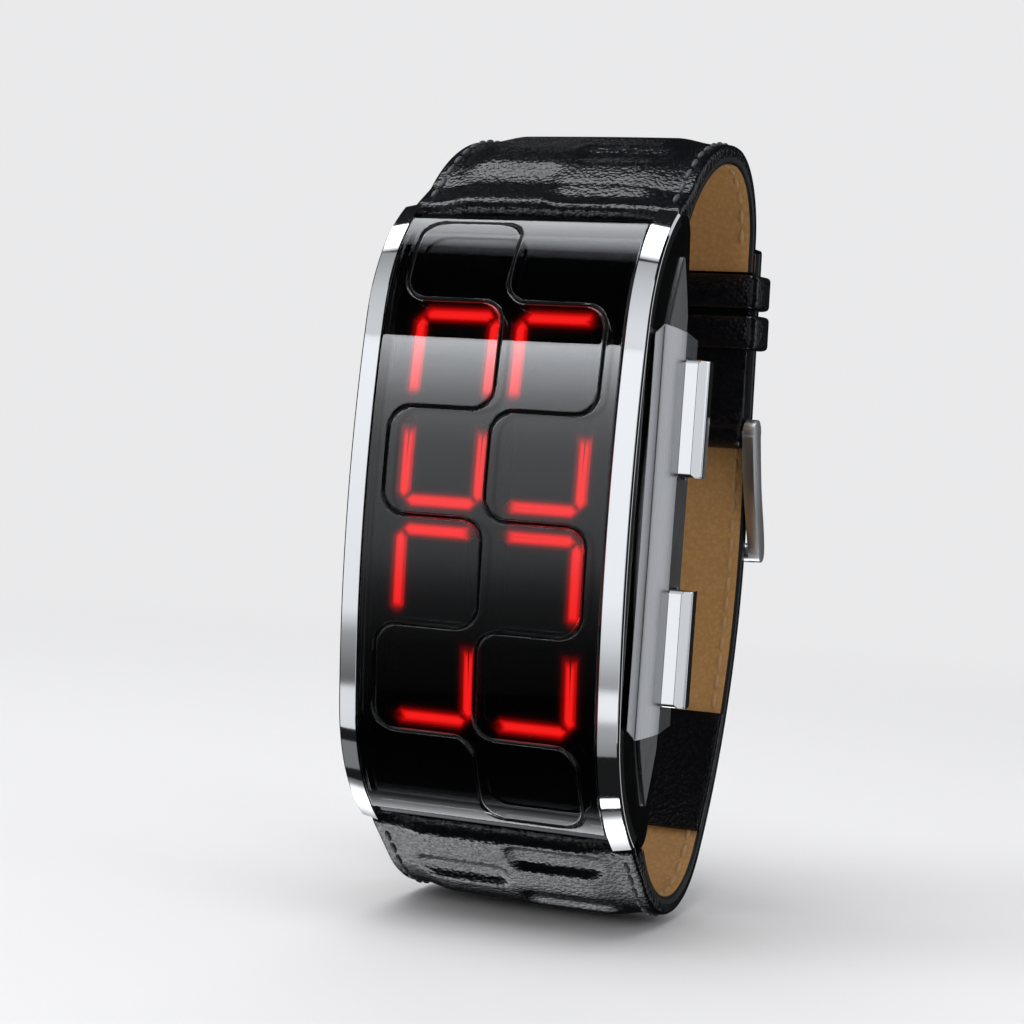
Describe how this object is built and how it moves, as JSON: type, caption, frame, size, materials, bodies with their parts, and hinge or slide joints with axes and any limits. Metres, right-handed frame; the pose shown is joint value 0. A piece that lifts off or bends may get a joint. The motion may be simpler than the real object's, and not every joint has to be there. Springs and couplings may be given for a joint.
{
  "type": "led wristwatch",
  "caption": "Curved rectangular wristwatch with a dark engraved crystal, a red light-bar time display, two side buttons and a closed leather strap.",
  "frame": {"origin": "middle of the wrist opening, level with the middle of the case", "axes": "+X towards the buttons at 3 o'clock, along the wrist; +Y from the face to the buckle; +Z to 12 o'clock"},
  "size_m": [0.0305, 0.0437, 0.0727],
  "materials": {
    "black_steel": "polished black coating on steel",
    "polished_steel": "mirror polished",
    "brushed_steel": "fine brushed along the case",
    "dark_glass": "tinted, polished, with engraved grooves",
    "seal_rubber": "soft matt",
    "black_plastic": "matt",
    "red_light": "red light bars, lit",
    "unlit_diffuser": "dark red, unlit",
    "chip_ceramic": "matt ceramic",
    "board": "green solder mask",
    "gold_contact": "plated spring contact",
    "black_leather": "soft grained, slightly shiny",
    "tan_leather": "matt lining leather"
  },
  "bodies": {
    "watch": {"case_body": "black_steel", "left_rail": "polished_steel", "right_rail": "polished_steel", "left_side_panel": "brushed_steel", "right_side_panel": "brushed_steel", "guard_bar": "brushed_steel", "crystal": "dark_glass", "crystal_gasket": "seal_rubber", "light_mask": "black_plastic", "lit_bars": "red_light", "dark_bars": "unlit_diffuser", "led_chips": "chip_ceramic", "circuit_board": "board", "microcontroller": "black_plastic", "quartz_oscillator": "polished_steel", "board_capacitors": "chip_ceramic", "side_switches": "black_plastic", "module_holder": "black_plastic", "coin_cells": "brushed_steel", "battery_contacts": "gold_contact", "back_cover": "brushed_steel", "back_gasket": "seal_rubber", "back_screws": "polished_steel", "upper_button_spring": "polished_steel", "lower_button_spring": "polished_steel", "button_seals": "seal_rubber", "upper_spring_bar": "brushed_steel", "lower_spring_bar": "brushed_steel", "buckle_spring_bar": "brushed_steel", "upper_strap_leather": "black_leather", "upper_strap_lining": "tan_leather", "lower_strap_leather": "black_leather", "lower_strap_lining": "tan_leather", "lower_inner_panel": "black_leather", "fixed_keeper": "black_leather"},
    "upper_button": {"upper_button": "polished_steel", "upper_button_clip": "brushed_steel"},
    "lower_button": {"lower_button": "polished_steel", "lower_button_clip": "brushed_steel"},
    "buckle": {"buckle_frame": "polished_steel"},
    "tongue": {"buckle_tongue": "polished_steel"},
    "loose_keeper": {"free_keeper": "black_leather"}
  },
  "joints": [
    {"name": "upper_button_press", "type": "slide", "parent": "watch", "child": "upper_button", "axis": [-1, 0, 0], "range_m": [0, 0.0006], "stiffness_N_per_m": 1500, "springref_m": -0.0004, "deforming": ["upper_button_spring"]},
    {"name": "lower_button_press", "type": "slide", "parent": "watch", "child": "lower_button", "axis": [-1, 0, 0], "range_m": [0, 0.0006], "stiffness_N_per_m": 1500, "springref_m": -0.0004, "deforming": ["lower_button_spring"]},
    {"name": "buckle_turn", "type": "hinge", "parent": "watch", "child": "buckle", "pos_m": [0, 0.01133, 0.00969], "axis": [1, 0, 0], "range_deg": [0, 15]},
    {"name": "tongue_turn", "type": "hinge", "parent": "buckle", "child": "tongue", "pos_m": [0, 0.01133, 0.00969], "axis": [1, 0, 0], "range_deg": [0, 15]},
    {"name": "loose_keeper_slide", "type": "slide", "parent": "watch", "child": "loose_keeper", "axis": [0, 0.061, -0.9981], "range_m": [0, 0.005]}
  ]
}
